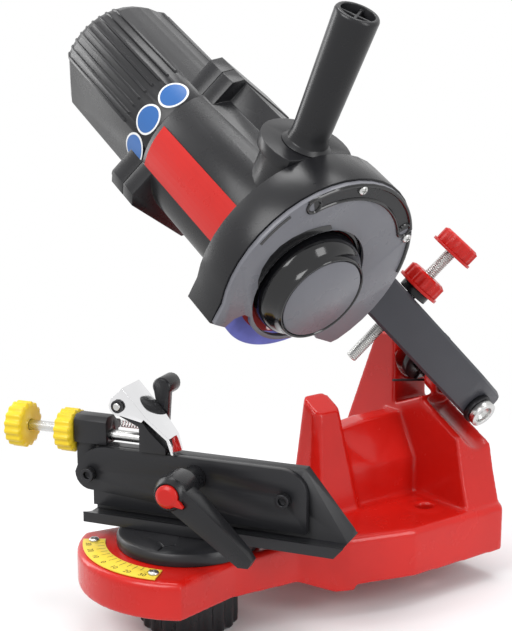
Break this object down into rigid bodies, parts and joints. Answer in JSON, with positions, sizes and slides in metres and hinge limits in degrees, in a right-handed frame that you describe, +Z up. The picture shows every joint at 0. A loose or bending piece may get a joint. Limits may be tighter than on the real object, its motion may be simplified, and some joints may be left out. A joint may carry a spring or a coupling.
{
  "type": "bench chain grinder",
  "caption": "Bench grinder that sharpens saw chain: a tilted motor head with a thin wheel on a sprung arm, over a swivelling chain vise on a cast base.",
  "frame": {"origin": "on the bench face under the casting, midway between the two bench bolt holes", "axes": "+Z up from the bench, -Y to the front where the vise overhangs the bench, +X to the user's right, so the motor's tail rises to -X"},
  "size_m": [0.2714, 0.2903, 0.382],
  "materials": {
    "adjuster_knob": "yellow moulded plastic",
    "adjuster_lock_knob": "yellow moulded plastic",
    "adjuster_rod": "bright zinc-plated steel",
    "arm": "dark grey enamel on cast aluminium, slightly coarse",
    "arm_screw": "blackened steel",
    "base": "red enamel on cast aluminium",
    "cable_gland": "black moulded plastic",
    "clamp_lever": "black enamel on cast aluminium",
    "clamp_nut": "gloss black moulding",
    "clamp_plate": "black enamel on cast metal",
    "clamp_stud": "bright zinc-plated steel",
    "cooling_fan": "black moulded plastic",
    "cover_screw_front": "bright zinc-plated steel",
    "cover_screw_top": "bright zinc-plated steel",
    "depth_collar": "black moulded plastic",
    "depth_knob": "red moulded plastic",
    "depth_lock_knob": "red moulded plastic",
    "depth_stud": "bright zinc-plated steel",
    "front_bearing": "bright zinc-plated steel",
    "grinding_wheel": "bonded blue abrasive grit",
    "guard_cover": "grey painted sheet",
    "guard_housing": "black moulded plastic",
    "guide_block": "black enamel on cast aluminium",
    "handle": "black moulded plastic",
    "inner_flange": "bright zinc-plated steel",
    "label_strip": "plain red foil strip",
    "lever_button": "red moulded plastic",
    "lever_stud": "bright zinc-plated steel",
    "lock_knob": "black moulded plastic",
    "motor_housing": "black enamel on cast aluminium",
    "motor_shaft": "bright zinc-plated steel",
    "nut_disc": "grey satin plastic",
    "pivot_bolt": "bright zinc-plated steel",
    "pivot_bush": "plain bearing bronze",
    "pivot_collar": "blackened steel",
    "pivot_nut": "bright zinc-plated steel",
    "plate_screw_left": "blackened steel",
    "plate_screw_right": "blackened steel",
    "rear_bearing": "bright zinc-plated steel",
    "return_spring": "blackened steel",
    "rotor_core": "bright zinc-plated steel",
    "run_capacitor": "bright zinc-plated steel",
    "scale_plate": "yellow printed plate",
    "scale_screw_left": "bright zinc-plated steel",
    "scale_screw_right": "bright zinc-plated steel",
    "spring_drum": "black moulded plastic",
    "stator": "laminated steel stack with copper windings",
    "stop_carriage": "black enamel on cast aluminium",
    "stop_circlip": "blackened steel",
    "stop_finger": "bright chrome plate",
    "stop_handle": "black moulded plastic",
    "stop_pin": "bright zinc-plated steel",
    "stop_spring": "bright zinc-plated steel",
    "switch_frame": "black moulded plastic",
    "switch_rocker": "red moulded plastic",
    "tail_cover": "black moulded plastic",
    "tail_screw_lower": "blackened steel",
    "tail_screw_upper": "blackened steel",
    "turntable": "black enamel on cast aluminium",
    "vise_rail": "black enamel on cast metal"
  },
  "bodies": {
    "frame": {"base": "base", "scale_plate": "scale_plate", "scale_screw_left": "scale_screw_left", "scale_screw_right": "scale_screw_right", "pivot_bolt": "pivot_bolt", "pivot_nut": "pivot_nut", "pivot_collar": "pivot_collar"},
    "lock": {"lock_knob": "lock_knob"},
    "swivel": {"turntable": "turntable", "clamp_stud": "clamp_stud", "vise_rail": "vise_rail", "plate_screw_left": "plate_screw_left", "plate_screw_right": "plate_screw_right", "lever_stud": "lever_stud", "guide_block": "guide_block"},
    "front_jaw": {"clamp_plate": "clamp_plate"},
    "lever": {"clamp_lever": "clamp_lever"},
    "button": {"lever_button": "lever_button"},
    "carriage": {"adjuster_rod": "adjuster_rod", "stop_carriage": "stop_carriage", "stop_spring": "stop_spring", "stop_pin": "stop_pin", "stop_circlip": "stop_circlip"},
    "adjuster": {"adjuster_knob": "adjuster_knob"},
    "adjuster_lock": {"adjuster_lock_knob": "adjuster_lock_knob"},
    "finger": {"stop_finger": "stop_finger", "stop_handle": "stop_handle"},
    "head": {"arm": "arm", "pivot_bush": "pivot_bush", "spring_drum": "spring_drum", "return_spring": "return_spring", "depth_collar": "depth_collar", "arm_screw": "arm_screw", "guard_housing": "guard_housing", "guard_cover": "guard_cover", "cover_screw_front": "cover_screw_front", "cover_screw_top": "cover_screw_top", "motor_housing": "motor_housing", "tail_cover": "tail_cover", "tail_screw_lower": "tail_screw_lower", "tail_screw_upper": "tail_screw_upper", "stator": "stator", "run_capacitor": "run_capacitor", "front_bearing": "front_bearing", "rear_bearing": "rear_bearing", "handle": "handle", "label_strip": "label_strip", "cable_gland": "cable_gland", "switch_frame": "switch_frame"},
    "rotor": {"motor_shaft": "motor_shaft", "rotor_core": "rotor_core", "cooling_fan": "cooling_fan", "inner_flange": "inner_flange", "grinding_wheel": "grinding_wheel", "clamp_nut": "clamp_nut", "nut_disc": "nut_disc"},
    "depth_rod": {"depth_stud": "depth_stud"},
    "depth_turn": {"depth_knob": "depth_knob"},
    "depth_lock": {"depth_lock_knob": "depth_lock_knob"},
    "rocker": {"switch_rocker": "switch_rocker"}
  },
  "joints": [
    {"name": "head_swing", "type": "hinge", "parent": "frame", "child": "head", "pos_m": [0.0638, 0.0382, 0.093], "axis": [0.866, 0, -0.5], "range_deg": [0, 23], "stiffness_Nm_per_rad": 6, "springref_deg": -57.3, "deforming": ["return_spring"]},
    {"name": "spindle_spin", "type": "hinge", "parent": "head", "child": "rotor", "pos_m": [0.06939, -0.13011, 0.20887], "axis": [0.866, 0, -0.5], "continuous": true},
    {"name": "vise_swivel", "type": "hinge", "parent": "frame", "child": "swivel", "pos_m": [0, -0.16, 0.0325], "axis": [0, 0, 1], "range_deg": [-60, 5]},
    {"name": "lock_turn", "type": "hinge", "parent": "frame", "child": "lock", "pos_m": [0, -0.16, 0.0025], "axis": [0, 0, 1], "range_deg": [-180, 180]},
    {"name": "lever_turn", "type": "hinge", "parent": "swivel", "child": "lever", "pos_m": [0.01606, -0.17382, 0.0765], "axis": [0.5, -0.866, 0], "range_deg": [0, 70]},
    {"name": "front_jaw_slide", "type": "slide", "parent": "swivel", "child": "front_jaw", "axis": [0.5, -0.866, 0], "range_m": [0, 0.00049]},
    {"name": "button_press", "type": "slide", "parent": "lever", "child": "button", "axis": [-0.5, 0.866, 0], "range_m": [0, 0.002], "stiffness_N_per_m": 200},
    {"name": "carriage_slide", "type": "slide", "parent": "swivel", "child": "carriage", "axis": [0.866, 0.5, 0], "range_m": [-0.004, 0.004], "deforming": ["stop_spring"]},
    {"name": "adjuster_turn", "type": "hinge", "parent": "carriage", "child": "adjuster", "pos_m": [-0.10371, -0.21237, 0.0933], "axis": [0.866, 0.5, 0], "range_deg": [-1152, 1152]},
    {"name": "adjuster_lock_turn", "type": "hinge", "parent": "swivel", "child": "adjuster_lock", "pos_m": [-0.07253, -0.19437, 0.0933], "axis": [0.866, 0.5, 0], "range_deg": [-90, 90]},
    {"name": "finger_flip", "type": "hinge", "parent": "carriage", "child": "finger", "pos_m": [-0.03767, -0.18175, 0.117], "axis": [0.5, -0.866, 0], "range_deg": [0, 8]},
    {"name": "depth_slide", "type": "slide", "parent": "head", "child": "depth_rod", "axis": [0.4263, 0.5225, 0.7384], "range_m": [-0.006, 0.006]},
    {"name": "depth_turn", "type": "hinge", "parent": "depth_rod", "child": "depth_turn", "pos_m": [0.07664, -0.00173, 0.21676], "axis": [0.4263, 0.5225, 0.7384], "range_deg": [-1728, 1728]},
    {"name": "depth_lock_turn", "type": "hinge", "parent": "head", "child": "depth_lock", "pos_m": [0.05916, -0.02315, 0.18649], "axis": [0.4263, 0.5225, 0.7384], "range_deg": [-90, 90]},
    {"name": "switch_rock", "type": "hinge", "parent": "head", "child": "rocker", "pos_m": [-0.01958, -0.08638, 0.23877], "axis": [-0.4263, -0.5225, -0.7384], "range_deg": [0, 12]}
  ],
  "couplings": [
    {"joint": "lever_turn", "follows": "front_jaw_slide", "rad_per_m": 2493.3},
    {"joint": "adjuster_turn", "follows": "carriage_slide", "rad_per_m": 5026.5},
    {"joint": "depth_turn", "follows": "depth_slide", "rad_per_m": 5026.5}
  ]
}
